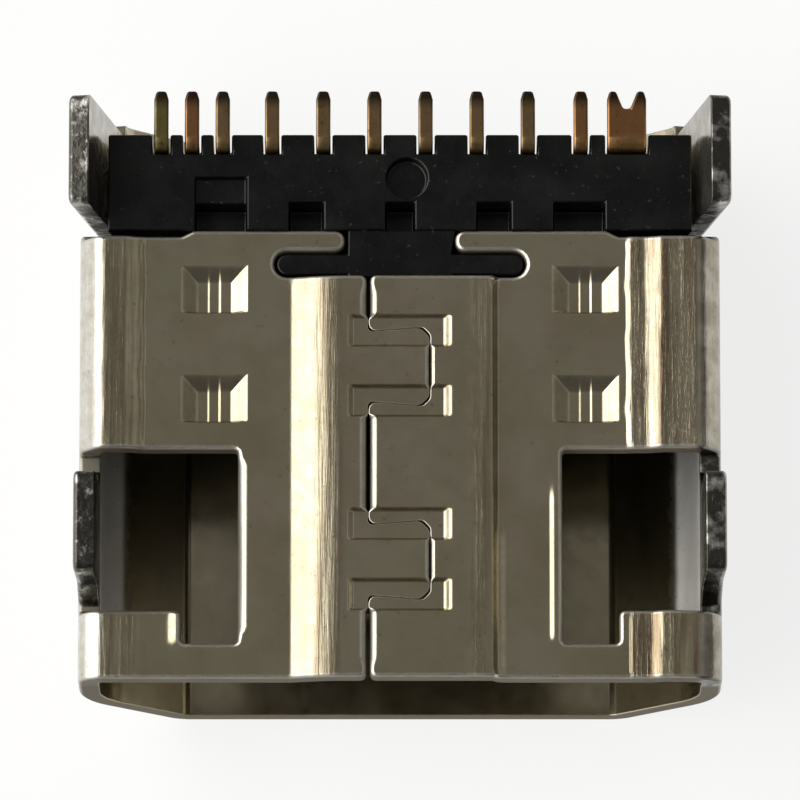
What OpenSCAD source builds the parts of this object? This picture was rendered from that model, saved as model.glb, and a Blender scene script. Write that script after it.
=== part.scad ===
// Flat eleven-contact charging port for a circuit board: a folded steel shell with a
// dovetailed seam, a moulded housing with a tongue and a rear comb, and stamped contacts.
// It lies on its narrow plate, board side up. X runs across, +Y towards the contact tails,
// the mouth opens towards -Y, and the origin is the middle of the whole box on its base.

/* [Shell] */
// Width across the side walls
shell_w = 7.5; // [7.2:0.05:8.4]
// Height from the narrow plate to the wide board face
shell_h = 2.45; // [2.35:0.05:2.9]
// Length of the folded tube, from the lip to the rear edge
shell_l = 5.36; // [5.3:0.02:6]
// Thickness of the sheet
sheet_t = 0.25; // [0.2:0.01:0.28]
// Width of the narrow plate between its bends
plate_w = 5.24; // [4.9:0.02:5.5]
// Height at which the bevels reach the side walls
bevel_h = 1.15; // [1:0.05:1.25]
// Outer bend radius at the wide face
corner_r = 0.3; // [0.28:0.01:0.36]
// Outer bend radius between bevel and side wall
side_r = 1.1; // [0.6:0.05:1.2]
// Outer bend radius between narrow plate and bevel
plate_r = 0.4; // [0.32:0.02:0.5]

/* [Raised strip] */
// Width of the strip at its foot
strip_w = 2.48; // [2.3:0.02:2.6]
// Height of the strip above the wide face
strip_rise = 0.11; // [0.06:0.01:0.15]
// Width of each sloping flank
strip_ramp = 0.26; // [0.2:0.02:0.36]

/* [Corner rolls] */
// Side offset of the left corner roll's inner foot
left_roll_x = 2.98; // [2.9:0.01:3]
// Side offset of the right corner roll's inner foot
right_roll_x = 2.64; // [2.6:0.01:2.8]
// Height of the corner rolls above the wide face
roll_rise = 0.07; // [0.03:0.005:0.08]

/* [Seam] */
// Side offset of the seam line
seam_x = -0.37; // [-0.45:0.01:-0.3]
// Gap between the two flaps
seam_gap = 0.04; // [0.02:0.01:0.06]
// How far the dovetail tabs reach past the seam line
tab_reach = 0.72; // [0.6:0.02:0.8]
// Width of a tab at its root
tab_w = 0.84; // [0.7:0.02:0.9]
// Extra width of a tab on each side at its head
tab_flare = 0.05; // [0.02:0.01:0.08]
// Distance of the first tab's middle behind the lip
tab_d = 1.4; // [1.2:0.05:1.5]
// Distance between the tabs
tab_pitch = 2.31; // [2.1:0.01:2.4]
// Length of the coined bars that lock the tabs
coin_l = 1.22; // [1.05:0.01:1.3]
// Width of the coined bars
coin_w = 0.4; // [0.28:0.02:0.44]
// Depth of the coined bars
coin_deep = 0.06; // [0.03:0.01:0.08]
// Width of the coined bars' sloping ends
coin_slope = 0.09; // [0.05:0.01:0.12]

/* [Lock slot] */
// Width of the slot's cross bar
slot_w = 2.95; // [2.8:0.05:3.1]
// Length of the cross bar along the shell
slot_l = 0.31; // [0.26:0.01:0.36]
// Distance of the cross bar's front edge behind the lip
slot_d = 4.8; // [4.7:0.02:4.85]
// Width of the neck that opens to the rear
neck_w = 1.29; // [1:0.02:1.5]

/* [Dents] */
// Side offset of the dents in the wide face
dent_x = 2.17; // [2.1:0.01:2.25]
// Distances of their two rows behind the lip
dent_d = [3.34, 4.65]; // [3.3:0.01:4.7]
// Side offset of the dents in the narrow plate
plate_dent_x = 1.2; // [1:0.05:1.4]
// Distance of the narrow plate's dents behind the lip
plate_dent_d = 4.62; // [4.55:0.01:4.75]
// Length of a dent across the shell
dent_l = 0.78; // [0.6:0.02:0.84]
// Width of a dent along the shell
dent_w = 0.58; // [0.5:0.02:0.64]
// Depth of a dent
dent_deep = 0.12; // [0.08:0.01:0.16]
// Width of a dent's sloping ends
dent_slope = 0.2; // [0.14:0.01:0.24]
// Length of a dent's sloping rear
dent_scoop = 0.2; // [0.1:0.01:0.22]

/* [Windows] */
// Distance of the windows' inner edges from the middle
window_x = 1.89; // [1.85:0.01:2]
// Distance of the windows behind the lip
window_d = 0.815; // [0.75:0.005:0.9]
// Length of the windows
window_l = 1.915; // [1.8:0.005:2]
// Width of the latch notch in front of each window
notch_w = 0.66; // [0.5:0.02:0.8]
// Length of the latch notch
notch_l = 0.395; // [0.3:0.005:0.45]

/* [Legs and ears] */
// Height of the leg tips above the wide face
leg_rise = 0.8; // [0.5:0.05:1.2]
// Outward lean of the front legs in degrees
front_lean = 2; // [0.5:0.5:4]
// Outward lean of the rear legs in degrees
rear_lean = 10; // [9:0.5:11]
// Distance of the front legs behind the lip
front_leg_d = 1.12; // [1.05:0.01:1.2]
// Width of the front legs
front_leg_w = 1.2; // [1:0.02:1.3]
// Distance of the rear legs behind the shell's rear edge
rear_leg_gap = 0.14; // [0.08:0.01:0.3]
// Width of the rear legs
rear_leg_w = 1.32; // [1:0.02:1.4]
// Radius at the corners of the leg tips
tip_r = 0.12; // [0.05:0.01:0.2]
// Length of the ears behind the shell's rear edge
ear_l = 1.62; // [1.55:0.02:2]
// Radius at an ear's rear corner
ear_r = 0.22; // [0.1:0.02:0.3]
// Height of an ear beside its leg
ear_h = 1.1; // [1.06:0.01:1.2]
// Distance of an ear's inner edge from the middle
ear_x = 2.5; // [2.4:0.01:2.55]
// Distance of the bend below an ear's leg inside the side wall
ear_bend_in = 0.29; // [0.25:0.01:0.31]
// Outer radius of that bend
ear_bend_r = 0.6; // [0.4:0.05:0.8]
// Distance of the ear windows in front of the shell's rear edge
ear_window_d = 0.5; // [0.3:0.02:0.6]
// Length of the ear windows
ear_window_l = 1.3; // [1:0.05:1.4]
// Distance of the ear windows up the bevel from the narrow plate
ear_window_x = 0.22; // [0.2:0.01:0.24]
// Width of the ear windows along the bevel's slope
ear_window_w = 0.56; // [0.5:0.02:0.58]
// Gap beside the retention lance in each ear window
lance_gap = 0.08; // [0.05:0.01:0.12]
// Length of the lances
lance_l = 1.02; // [0.8:0.02:1.1]
// Inward lean of the lances in degrees
lance_lean = 9; // [4:1:12]

/* [Housing] */
// Distance of the base wall behind the lip
base_d = 4.2; // [4.1:0.02:4.28]
// Length of the rear block behind the shell's rear edge
block_l = 1.16; // [1.1:0.01:1.3]
// Width of the tongue
tongue_w = 3.6; // [3.5:0.02:3.76]
// Thickness of the tongue
tongue_t = 0.6; // [0.5:0.02:0.7]
// Height of the tongue's middle above the narrow plate's outside
tongue_z = 1.35; // [1.25:0.01:1.4]
// Distance of the tongue's tip behind the lip
tongue_d = 0.95; // [0.8:0.05:1.1]
// Lead-in bevel at the tongue's tip
tongue_lead = 0.15; // [0.05:0.01:0.2]
// Gap between housing and shell
fit_gap = 0.03; // [0.01:0.01:0.05]
// Gap between the rear block and the ears
ear_gap = 0.06; // [0.04:0.01:0.08]
// Depth of the notches along the block's front edge
castle_l = 0.34; // [0.2:0.02:0.4]
// Height of those notches
castle_h = 0.45; // [0.2:0.05:0.5]
// Distance of the comb behind the shell's rear edge
comb_d = 0.5; // [0.4:0.02:0.7]
// Depth of the gaps in the comb
comb_deep = 0.32; // [0.26:0.01:0.4]
// Length of the shallow pocket behind the left outer notch
pocket_l = 0.3; // [0.2:0.02:0.4]
// Depth of that pocket
pocket_deep = 0.1; // [0.05:0.01:0.15]
// Radius of the round ejector recess
ejector_r = 0.24; // [0.15:0.01:0.28]
// Depth of the ejector recess
ejector_deep = 0.15; // [0.04:0.01:0.2]

/* [Contacts] */
// Thickness of the contact strip
contact_t = 0.12; // [0.1:0.01:0.13]
// Width of the regular tails
tail_w = 0.17; // [0.14:0.01:0.2]
// Width of the forked tail
fork_w = 0.46; // [0.4:0.02:0.48]
// Width of the notch in the forked tail at its mouth
fork_gap = 0.25; // [0.18:0.01:0.28]
// Length of that notch
fork_l = 0.21; // [0.15:0.01:0.3]
// Length of the tails behind the rear block
tail_l = 0.5; // [0.4:0.02:0.8]
// Height of the tails' solder faces above the wide face
tail_rise = 0.11; // [0.02:0.01:0.2]
// Spacing of the six middle tails
tail_pitch = 0.6; // [0.56:0.01:0.62]
// Side offsets of the five outer tails
outer_tail_x = [-2.8, -2.44, -2.08, 2.12, 2.66]; // [-2.82:0.01:2.68]
// Spacing of the five upper contacts on the tongue
mate_pitch = 0.65; // [0.6:0.01:0.7]
// Width of the contacts on the tongue
mate_w = 0.28; // [0.22:0.02:0.32]
// How far the contacts stand proud of the tongue
mate_proud = 0.02; // [0.01:0.01:0.04]
// Width of the tail slots in the rear block
tail_slot_w = 0.21; // [0.2:0.01:0.26]
// Length of the tail slots
tail_slot_l = 0.23; // [0.2:0.01:0.3]
// Gap between contacts and housing
contact_gap = 0.01; // [0.005:0.005:0.02]

/* [Hidden] */
$fn = 48;
eps = 0.01;
// How far the circle of a rounding passes the flats it joins, so that they cross cleanly
arc_lap = 0.0002;
steel = [0.56, 0.53, 0.46];
resin = [0.07, 0.07, 0.075];
brass = [0.72, 0.55, 0.28];

// Shell section: sharp outer corners from the narrow plate round to the wide face
half_w = shell_w / 2;
section = [[-plate_w / 2, 0], [plate_w / 2, 0], [half_w, bevel_h],
    [half_w, shell_h], [-half_w, shell_h], [-half_w, bevel_h]];
section_r = [plate_r, plate_r, side_r, corner_r, corner_r, side_r];
wide_in = shell_h - sheet_t;
// Half the width of a corner roll's inner ramp
roll_ramp = 0.06;
// Where a corner roll runs out on the bend: degrees round it, and depth below its outside
roll_turn = 45;
roll_end_deep = 0.02;
seam_rear = slot_d + slot_l;

// Legs and ears
leg_top = shell_h + leg_rise;
leg_foot = shell_h - corner_r;
leg_l = leg_rise + corner_r;
ear_end = shell_l + ear_l;
rear_leg_d = shell_l + rear_leg_gap;
bevel_angle = atan2(bevel_h, half_w - plate_w / 2);
ear_bend_x = half_w - ear_bend_in;
ear_bend = [ear_bend_x, (ear_bend_x - plate_w / 2) * tan(bevel_angle)];
// How far below the ear's bend the slit between the tube and the ear reaches
slit_drop = 0.16;
slit_z = ear_bend.y - slit_drop;

// Housing levels
block_end = shell_l + block_l;
block_top = shell_h;
block_foot_w = plate_w / 2 - plate_r;
comb_z = sheet_t + fit_gap;
// Step in the shell's rear edge beside the ears, and where it starts
relief_d = 0.07;
relief_x = 2.42;
// Middle and width of each notch along the block's front edge
castle_x = [[0, 0.34], [1.1, 0.4], [2.1, 0.6]];
ejector_at = [0.08, (shell_l + castle_l + block_end - tail_slot_l) / 2];

// Contact levels and routes
tail_z = shell_h + tail_rise - contact_t / 2;
riser_d = block_end - tail_slot_l + contact_gap + contact_t / 2;
tail_end = block_end + tail_l;
upper_z = tongue_z + tongue_t / 2 + mate_proud - contact_t / 2;
lower_z = tongue_z - tongue_t / 2 - mate_proud + contact_t / 2;
comb_run_z = comb_z + comb_deep;
bend_r = 0.1;
tip_taper = tail_w / 6;
// Plastic in front of the contacts on the tongue
mate_in = 0.4;
mate_d = tongue_d + mate_in;
// Plastic in front of the middle contacts' step, and the length of the run after it
step_in = 0.5;
step_d = base_d + step_in;
step_l = 0.4;
// Plastic in front of the outer contacts' first sideways run, and the distance between those runs
lateral_in = 0.55;
lateral_d = base_d + lateral_in;
lateral_pitch = 0.35;
lateral_rank = [0, 1, 2, 1, 0];
overall_l = max(tail_end, ear_end);

function unit(v) = v / norm(v);
function wrap(p, i) = p[(i + len(p)) % len(p)];
function across(v) = [-v.y, v.x];
// Where two lines, each a point and a direction, cross
function meet(p, u, q, v) = p + u * cross(q - p, v) / cross(u, v);
// A closed convex outline moved inwards by d, corner by corner
function inset(p, d) = [for (i = [0:len(p) - 1])
    let (u = unit(p[i] - wrap(p, i - 1)), v = unit(wrap(p, i + 1) - p[i]))
    meet(p[i] + across(u) * d, u, p[i] + across(v) * d, v)];
function turn(u, v) = acos(min(1, max(-1, u * v)));
// Distance from a corner to where its rounding starts
function trim(a, b, c, r) = r * tan(turn(unit(b - a), unit(c - b)) / 2);
function bend_centre(a, b, c, r) =
    let (u = unit(b - a), v = unit(c - b))
    b + unit(v - u) * r / cos(turn(u, v) / 2);

// The sector between the two radii where a corner's rounding starts and ends
module corner_sector(a, b, c, r) {
    m = bend_centre(a, b, c, r);
    s = trim(a, b, c, r);
    e = 2 * (b - unit(b - a) * s - m);
    f = 2 * (b + unit(c - b) * s - m);
    polygon([m, m + e, m + e + f, m + f]);
}

// A filled outline whose convex corners with a radius are cut back to true arcs
module rounded(p, r) {
    difference() {
        polygon(p);
        for (i = [0:len(p) - 1]) if (r[i] > 0) {
            a = wrap(p, i - 1);
            c = wrap(p, i + 1);
            difference() {
                corner_sector(a, p[i], c, r[i]);
                translate(bend_centre(a, p[i], c, r[i])) circle(r[i] + arc_lap);
            }
        }
    }
}

// A strip of thickness t that follows an open path, bent to middle radius r[i] at its corners
module ribbon(p, r, t) {
    last = len(p) - 1;
    for (i = [0:last - 1]) {
        u = unit(p[i + 1] - p[i]);
        a = i == 0 ? p[0] : p[i] + u * trim(p[i - 1], p[i], p[i + 1], r[i]);
        b = i == last - 1 ? p[last] : p[i + 1] - u * trim(p[i], p[i + 1], p[i + 2], r[i + 1]);
        w = across(u) * t / 2;
        polygon([a - w, b - w, b + w, a + w]);
    }
    for (i = [1:last - 1]) bend(p[i - 1], p[i], p[i + 1], r[i], t);
}

// The ring sector that joins two straight runs of a ribbon
module bend(a, b, c, r, t) {
    intersection() {
        translate(bend_centre(a, b, c, r)) difference() {
            circle(r + t / 2);
            circle(r - t / 2);
        }
        corner_sector(a, b, c, r);
    }
}

// A section in X and Z drawn out from y0 to y1
module along_y(y0, y1) translate([0, y1, 0]) rotate([90, 0, 0]) linear_extrude(y1 - y0) children();
// An outline in Y and Z drawn out from x0 to x1
module along_x(x0, x1) translate([x0, 0, 0]) rotate([90, 0, 90]) linear_extrude(x1 - x0) children();
module both_sides() {
    children();
    mirror([1, 0, 0]) children();
}
// From distances behind the lip to the part's own frame
module placed() translate([0, -overall_l / 2, 0]) children();

// Shell
module section_at(depth) rounded(inset(section, depth), [for (r = section_r) r - depth]);

module strip_outline(z, spare) polygon([
    [-strip_w / 2, z - spare], [strip_w / 2, z - spare], [strip_w / 2, z],
    [strip_w / 2 - strip_ramp, z + strip_rise], [strip_ramp - strip_w / 2, z + strip_rise],
    [-strip_w / 2, z]]);

module tube() {
    along_y(0, shell_l) difference() {
        section_at(0);
        section_at(sheet_t);
    }
}

module strip() {
    along_y(0, slot_d + slot_l / 2) difference() {
        strip_outline(shell_h, sheet_t / 2);
        strip_outline(wide_in, sheet_t);
    }
}

module strip_hollow() along_y(-eps, slot_d + slot_l / 2) strip_outline(wide_in, eps);

// The raised roll along a corner behind the windows, from its foot at x out to the bend
module corner_roll(x) {
    centre = [half_w - corner_r, shell_h - corner_r];
    run_out = centre + (corner_r - roll_end_deep) * [sin(roll_turn), cos(roll_turn)];
    along_y(window_d + window_l / 2, shell_l)
        polygon([[x - roll_ramp, shell_h - roll_rise], run_out,
            [centre.x, shell_h + roll_rise], [x + roll_ramp, shell_h + roll_rise]]);
}

module tab_outline(grow) {
    root = tab_w / 2 + grow;
    head = root + tab_flare;
    far = tab_reach + grow;
    blunt = tab_flare * 2;
    polygon([[-grow, -root], [far - blunt, -head], [far, blunt - head],
        [far, head - blunt], [far - blunt, head], [-grow, root]]);
}

// The gap between the flaps in plan: a straight cut with its path stepped round the tabs
module seam_outline() {
    difference() {
        union() {
            translate([seam_x - seam_gap / 2, -eps]) square([seam_gap, seam_rear]);
            for (i = [0, 1]) translate([seam_x, tab_d + i * tab_pitch]) tab_outline(seam_gap / 2);
        }
        for (i = [0, 1]) translate([seam_x, tab_d + i * tab_pitch]) {
            tab_outline(-seam_gap / 2);
            translate([-seam_gap, -tab_w / 2 + seam_gap / 2])
                square([2 * seam_gap + eps, tab_w - seam_gap]);
        }
    }
}

module coined_bars() {
    l = coin_l / 2;
    for (i = [0, 1], s = [-1, 1])
        translate([seam_x + tab_reach / 2, tab_d + i * tab_pitch + s * tab_w / 2, shell_h + strip_rise])
            along_y(-coin_w / 2, coin_w / 2)
                polygon([[coin_slope - l, -coin_deep], [l - coin_slope, -coin_deep], [l, 0], [l, eps],
                    [-l, eps], [-l, 0]]);
}

module slot_outline(grow) {
    r = slot_l / 2 + grow;
    for (s = [-1, 1]) translate([s * (slot_w - slot_l) / 2, slot_d + slot_l / 2]) circle(r);
    translate([-(slot_w - slot_l) / 2, slot_d - grow]) square([slot_w - slot_l, 2 * r]);
    translate([-neck_w / 2 - grow, slot_d]) square([neck_w + 2 * grow, shell_l - slot_d + eps]);
}

module window_outline() {
    translate([window_x, window_d]) square([half_w - window_x + eps, window_l]);
    translate([window_x, window_d - notch_l]) square([notch_w, notch_l + eps]);
}

// A dent, sheared at its front and sloping elsewhere: grow widens it for the pocket that clears it
module dent(z, down, grow) {
    l = dent_l / 2 + grow;
    w = dent_w / 2 + grow;
    deep = dent_deep + grow;
    lip = z - down * eps;
    bed = z + down * deep;
    intersection() {
        along_y(-w, w + eps)
            polygon([[-l, lip], [l, lip], [l, z], [l - dent_slope, bed], [dent_slope - l, bed], [-l, z]]);
        along_x(-l - eps, l + eps)
            polygon([[-w - eps, lip - down * eps], [w, lip - down * eps], [w, z],
                [w - 2 * dent_scoop, bed + down * deep], [-w - eps, bed + down * deep]]);
    }
}

module wide_dents(z, grow) {
    for (d = dent_d, s = [-1, 1]) translate([s * dent_x, d, 0]) dent(z, -1, grow);
}

module plate_dents(z, grow) {
    for (s = [-1, 1]) translate([s * plate_dent_x, plate_dent_d, 0]) dent(z, 1, grow);
}

// The outer line of a front strip that runs on upwards as a leg instead of folding over
function front_path(spare) = [[0, leg_foot - spare], [half_w, leg_foot - spare], [half_w, leg_foot],
    [half_w + (leg_l + spare) * tan(front_lean), leg_top + spare], [0, leg_top + spare]];

// The outer line of an ear: a shorter bevel, a bend, and the leaning rear leg
function ear_path(spare) = [[0, 0], [plate_w / 2, 0], ear_bend,
    ear_bend + [tan(rear_lean), 1] * (leg_top - ear_bend.y + spare), [0, leg_top + spare]];

// What an ear's outer line, moved inwards by a depth, encloses: the tube's bevel up to the bend
module ear_fill(depth, spare) {
    p = inset(section, depth);
    q = inset(ear_path(spare), depth);
    r = ear_bend_r - depth;
    far = 2 * half_w;
    run = [tan(rear_lean), 1] * sheet_t;
    difference() {
        rounded([[0, p[1].y], p[1], p[2], [far, p[2].y], [far, q[3].y], [0, q[3].y]],
            [0, plate_r - depth, 0, 0, 0, 0]);
        polygon([q[2] - run, [far + eps, q[2].y - run.y], [far + eps, q[3].y + run.y], q[3] + run]);
        difference() {
            corner_sector(q[1], q[2], q[3], r);
            translate(bend_centre(q[1], q[2], q[3], r)) circle(r + arc_lap);
        }
    }
}

// A plate outline in Y and Z with rounded upper corners
module tip_outline(y0, y1, z0, z1) rounded([[y0, z0], [y1, z0], [y1, z1], [y0, z1]],
    [0, 0, tip_r, tip_r]);

module front_leg() {
    spread = (window_l - front_leg_w) / 4;
    intersection() {
        along_y(window_d, window_d + window_l) difference() {
            polygon(front_path(0));
            polygon(inset(front_path(2 * sheet_t), sheet_t));
        }
        along_x(half_w - 2 * sheet_t, half_w + leg_l) union() {
            tip_outline(front_leg_d, front_leg_d + front_leg_w, leg_foot, leg_top);
            polygon([[front_leg_d - spread, leg_foot], [front_leg_d + front_leg_w + spread, leg_foot],
                [front_leg_d + front_leg_w, shell_h], [front_leg_d, shell_h]]);
        }
    }
}

module ear() {
    intersection() {
        along_y(shell_l - sheet_t, ear_end) difference() {
            ear_fill(0, 0);
            ear_fill(sheet_t, 2 * sheet_t);
        }
        along_x(ear_x, half_w + leg_l) union() {
            translate([shell_l, -eps]) square([ear_l, slit_z + eps]);
            rounded([[rear_leg_d, 0], [ear_end, 0], [ear_end, ear_h], [rear_leg_d, ear_h]],
                [0, 0, ear_r, 0]);
            tip_outline(rear_leg_d, rear_leg_d + rear_leg_w, slit_z, leg_top);
        }
    }
}

// Local frame at an ear window's front corner: x up the bevel, y to the rear, z into the shell
module on_bevel() translate([plate_w / 2, shell_l - ear_window_d, 0]) rotate([0, -bevel_angle, 0])
    translate([ear_window_x, 0, 0]) children();

module ear_window() on_bevel() translate([0, 0, -sheet_t])
    cube([ear_window_w, ear_window_l, 3 * sheet_t]);

// The tongue of sheet left in an ear window, bent inwards about its front end
module lance(grow) {
    wide = ear_window_w - 2 * lance_gap;
    on_bevel() rotate([lance_lean, 0, 0]) translate([lance_gap - grow, -grow, -grow])
        cube([wide + 2 * grow, lance_l + 2 * grow, sheet_t + 2 * grow]);
}

module folded_tube() {
    difference() {
        union() {
            tube();
            strip();
            corner_roll(right_roll_x);
            mirror([1, 0, 0]) corner_roll(left_roll_x);
        }
        strip_hollow();
        translate([0, 0, leg_foot]) linear_extrude(shell_h) both_sides() window_outline();
    }
}

module rear_relief() translate([0, 0, leg_foot]) linear_extrude(shell_h) both_sides()
    translate([relief_x, shell_l - relief_d]) square([half_w - relief_x - sheet_t, relief_d + eps]);

module shell() {
    color(steel) placed() {
        difference() {
            union() {
                folded_tube();
                both_sides() {
                    front_leg();
                    ear();
                }
                wide_dents(wide_in, 0);
                plate_dents(sheet_t, 0);
            }
            translate([0, 0, wide_in - eps]) linear_extrude(sheet_t * 2) {
                seam_outline();
                slot_outline(0);
            }
            rear_relief();
            coined_bars();
            wide_dents(shell_h, 0);
            plate_dents(0, 0);
            both_sides() ear_window();
        }
        both_sides() lance(0);
    }
}

// Housing
module base() along_y(base_d, shell_l + eps) section_at(sheet_t + fit_gap);

module rear_block() {
    low = inset(ear_path(sheet_t), sheet_t + ear_gap)[2];
    top_w = low.x + (block_top - low.y) * tan(rear_lean);
    along_y(shell_l, block_end) polygon([[-block_foot_w, comb_z], [block_foot_w, comb_z], low,
        [top_w, block_top], [-top_w, block_top], [-low.x, low.y]]);
}

module tongue() {
    along_x(-tongue_w / 2, tongue_w / 2) polygon([
        [base_d + eps, tongue_z - tongue_t / 2], [base_d + eps, tongue_z + tongue_t / 2],
        [tongue_d + tongue_lead, tongue_z + tongue_t / 2],
        [tongue_d, tongue_z + tongue_t / 2 - tongue_lead],
        [tongue_d, tongue_z - tongue_t / 2 + tongue_lead],
        [tongue_d + tongue_lead, tongue_z - tongue_t / 2]]);
}

module lock_key() translate([0, 0, wide_in - sheet_t]) linear_extrude(2 * sheet_t - fit_gap)
    slot_outline(-fit_gap);

module castle_notches() {
    both_sides() for (c = castle_x)
        translate([c[0] - c[1] / 2, shell_l - eps, block_top - castle_h])
            cube([c[1], castle_l + eps, castle_h + eps]);
}

module pocket() {
    outer = castle_x[2];
    translate([-outer[0] - outer[1] / 2, shell_l, block_top - pocket_deep])
        cube([outer[1], castle_l + pocket_l, 2 * pocket_deep]);
}

module tail_slot(x, w, z0) translate([x - w / 2, block_end - tail_slot_l, z0])
    cube([w, tail_slot_l + eps, block_top - z0 + eps]);

module housing() {
    color(resin) placed() difference() {
        union() {
            base();
            rear_block();
            tongue();
            lock_key();
        }
        wide_dents(wide_in - fit_gap, fit_gap);
        plate_dents(sheet_t + fit_gap, fit_gap);
        castle_notches();
        pocket();
        both_sides() lance(fit_gap);
        translate([ejector_at.x, ejector_at.y, block_top - ejector_deep])
            cylinder(r = ejector_r, h = 2 * ejector_deep);
        for (i = [0:5]) {
            x = middle_x(i);
            tail_slot(x, tail_slot_w, 0);
            middle_contact(i, contact_gap);
            translate([x - tail_slot_w / 2, shell_l + comb_d, 0])
                cube([tail_slot_w, block_l, comb_run_z]);
        }
        for (i = [0:4]) {
            tail_slot(outer_tail_x[i], outer_w(i) + tail_slot_w - tail_w, upper_z - contact_t);
            outer_contact(i, contact_gap);
        }
    }
}

// Contacts
function middle_x(i) = (i - 2.5) * tail_pitch;
function outer_w(i) = i == 4 ? fork_w : tail_w;
function mate_x(i) = (i - 2) * mate_pitch;

// The riser and the tail in side view, from a run at height z
module riser(from_d, z, grow) {
    ribbon([[from_d, z], [riser_d, z], [riser_d, tail_z], [tail_end - bend_r, tail_z]],
        [0, bend_r, bend_r, 0], contact_t + 2 * grow);
}

module tail_point(x, w) translate([x, tail_end - bend_r, tail_z - contact_t / 2])
    linear_extrude(contact_t) polygon([[-w / 2, 0], [w / 2, 0], [w / 2 - tip_taper, bend_r],
        [tip_taper - w / 2, bend_r]]);

module middle_contact(i, grow) {
    x = middle_x(i);
    along_x(x - mate_w / 2 - grow, x + mate_w / 2 + grow)
        ribbon([[mate_d - grow, lower_z], [step_d, lower_z], [step_d, comb_run_z],
            [step_d + step_l, comb_run_z]], [0, bend_r, bend_r, 0], contact_t + 2 * grow);
    along_x(x - tail_w / 2 - grow, x + tail_w / 2 + grow)
        riser(step_d + step_l / 2, comb_run_z, grow);
    tail_point(x, tail_w);
}

// The flat route of an outer contact: back along the tongue, sideways, and back to its tail
module outer_route(i, grow) {
    w = tail_w / 2 + grow;
    x = mate_x(i);
    tail = outer_tail_x[i];
    y = lateral_d + lateral_rank[i] * lateral_pitch;
    translate([x - mate_w / 2 - grow, mate_d - grow]) square([mate_w + 2 * grow, y - mate_d + w + grow]);
    translate([min(x, tail) - w, y - w]) square([abs(tail - x) + 2 * w, 2 * w]);
    translate([tail - outer_w(i) / 2 - grow, y - w])
        square([outer_w(i) + 2 * grow, riser_d - 2 * bend_r - y + w + eps]);
}

module outer_contact(i, grow) {
    t = contact_t + 2 * grow;
    x = outer_tail_x[i];
    w = outer_w(i);
    translate([0, 0, upper_z - t / 2]) linear_extrude(t) outer_route(i, grow);
    along_x(x - w / 2 - grow, x + w / 2 + grow) riser(riser_d - 3 * bend_r, upper_z, grow);
    tail_point(x, w);
}

module fork_notch() {
    mouth = fork_gap / 2;
    floor = fork_gap / 6;
    translate([outer_tail_x[4], tail_end, tail_z - contact_t]) linear_extrude(2 * contact_t)
        polygon([[-mouth, eps], [-mouth, 0], [-floor, -fork_l], [floor, -fork_l], [mouth, 0],
            [mouth, eps]]);
}

module middle(i) color(brass) placed() middle_contact(i, 0);

module outer(i) color(brass) placed() difference() {
    outer_contact(i, 0);
    if (i == 4) fork_notch();
}

shell();
housing();
outer(0);  // contact_01
outer(1);  // contact_02
outer(2);  // contact_03
middle(0);  // contact_04
middle(1);  // contact_05
middle(2);  // contact_06
middle(3);  // contact_07
middle(4);  // contact_08
middle(5);  // contact_09
outer(3);  // contact_10
outer(4);  // contact_11
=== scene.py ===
"""Looks of the charging port: sheet metal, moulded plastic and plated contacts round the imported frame."""
import math

import bmesh
import bpy
import numpy as np
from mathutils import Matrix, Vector
from mathutils.geometry import delaunay_2d_cdt


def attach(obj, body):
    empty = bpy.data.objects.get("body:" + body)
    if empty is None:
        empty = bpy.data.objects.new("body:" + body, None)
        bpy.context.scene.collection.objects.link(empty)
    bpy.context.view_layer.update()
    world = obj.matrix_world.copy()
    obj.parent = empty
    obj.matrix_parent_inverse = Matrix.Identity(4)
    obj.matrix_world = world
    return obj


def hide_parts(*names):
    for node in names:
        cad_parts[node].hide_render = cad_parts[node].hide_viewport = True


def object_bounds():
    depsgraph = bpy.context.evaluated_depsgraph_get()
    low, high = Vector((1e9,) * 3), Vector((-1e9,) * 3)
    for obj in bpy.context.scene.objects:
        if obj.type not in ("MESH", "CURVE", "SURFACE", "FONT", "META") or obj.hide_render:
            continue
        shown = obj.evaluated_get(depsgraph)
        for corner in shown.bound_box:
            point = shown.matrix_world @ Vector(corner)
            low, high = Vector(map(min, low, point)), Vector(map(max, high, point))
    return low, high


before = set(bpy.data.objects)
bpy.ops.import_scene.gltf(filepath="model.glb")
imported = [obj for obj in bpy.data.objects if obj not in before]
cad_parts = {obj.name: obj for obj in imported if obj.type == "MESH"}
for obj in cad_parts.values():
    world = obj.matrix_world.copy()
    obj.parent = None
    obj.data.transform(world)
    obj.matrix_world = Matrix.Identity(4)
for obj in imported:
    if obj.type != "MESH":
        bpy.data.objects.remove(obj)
CAD_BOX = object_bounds()
MM = 0.001

# Lengths are millimetres; d is the distance behind the lip, x the place across from the middle

# The shell's section
SHELL_W = 7.5
SHELL_H = 2.45
SHELL_L = 5.36
SHEET = 0.25
PLATE_W = 5.24
BEVEL_H = 1.15
CORNER_R = 0.3
SIDE_R = 1.1
PLATE_R = 0.4

# The raised strip: its broad left flank, its steep right one and the mark beside that
STRIP_W = 2.48
STRIP_RISE = 0.11
FLANK_START = 0.1
FLANK_FOOT = (0.06, 0.01)
FLANK_CREST = 0.17
FLANK_W = 0.66
FLANK_SAMPLES = 200
RIGHT_FLANK_IN = 0.09
RIGHT_FLANK_W = 0.08
RIDGE_RISE = 0.012
RIDGE_X = (1.11, 1.15, 1.15, 1.25)
RIDGE_FADE_D = (1.6, 1.95)

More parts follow.
